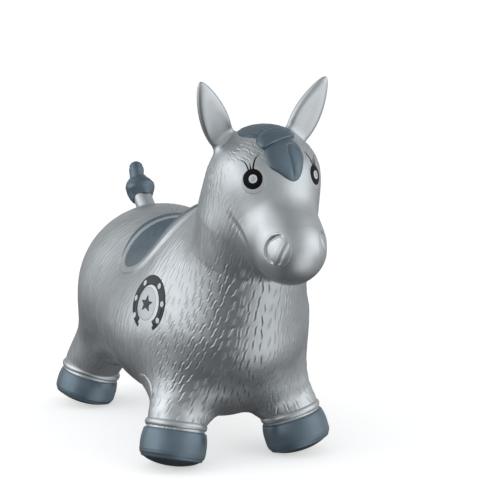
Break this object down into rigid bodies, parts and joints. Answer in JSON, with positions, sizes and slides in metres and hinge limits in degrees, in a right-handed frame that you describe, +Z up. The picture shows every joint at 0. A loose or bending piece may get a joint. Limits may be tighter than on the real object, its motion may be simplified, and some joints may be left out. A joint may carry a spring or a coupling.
{
  "type": "bouncy ride on animal",
  "caption": "Inflatable moulded bouncy horse for a small child, with four hooves, ears as grips, a saddle patch and a plug valve in the belly.",
  "frame": {"origin": "bottom centre of the bounding box, on the floor between the hooves", "axes": "+Z up, the horse faces -Y, its right side at -X"},
  "size_m": [0.268, 0.5936, 0.5],
  "materials": {
    "silver_skin": "satin pearl paint on vinyl",
    "slate_paint": "satin slate paint on vinyl",
    "dark_print": "matt printed ink",
    "eye_black": "gloss",
    "plug_white": "matt"
  },
  "bodies": {
    "horse": {"torso": "silver_skin", "neck": "silver_skin", "head": "silver_skin", "leg_front_right": "silver_skin", "leg_front_left": "silver_skin", "leg_rear_right": "silver_skin", "leg_rear_left": "silver_skin", "hoof_front_right": "slate_paint", "hoof_front_left": "slate_paint", "hoof_rear_right": "slate_paint", "hoof_rear_left": "slate_paint", "ear_right": "silver_skin", "ear_left": "silver_skin", "tail_stalk": "silver_skin", "tail_tuft": "slate_paint", "saddle_pad": "slate_paint", "saddle_edge": "silver_skin", "forelock": "slate_paint", "mane": "slate_paint", "eye_right": "eye_black", "eye_left": "eye_black", "nostril_right": "silver_skin", "nostril_left": "silver_skin", "horseshoe_right": "dark_print", "horseshoe_left": "dark_print", "star_right": "dark_print", "star_left": "dark_print", "valve_patch": "silver_skin", "valve_seat": "silver_skin"},
    "plug": {"valve_plug": "plug_white"}
  },
  "joints": [
    {"name": "plug_slide", "type": "slide", "parent": "horse", "child": "plug", "axis": [0, 0, -1], "range_m": [0, 0.018]}
  ]
}
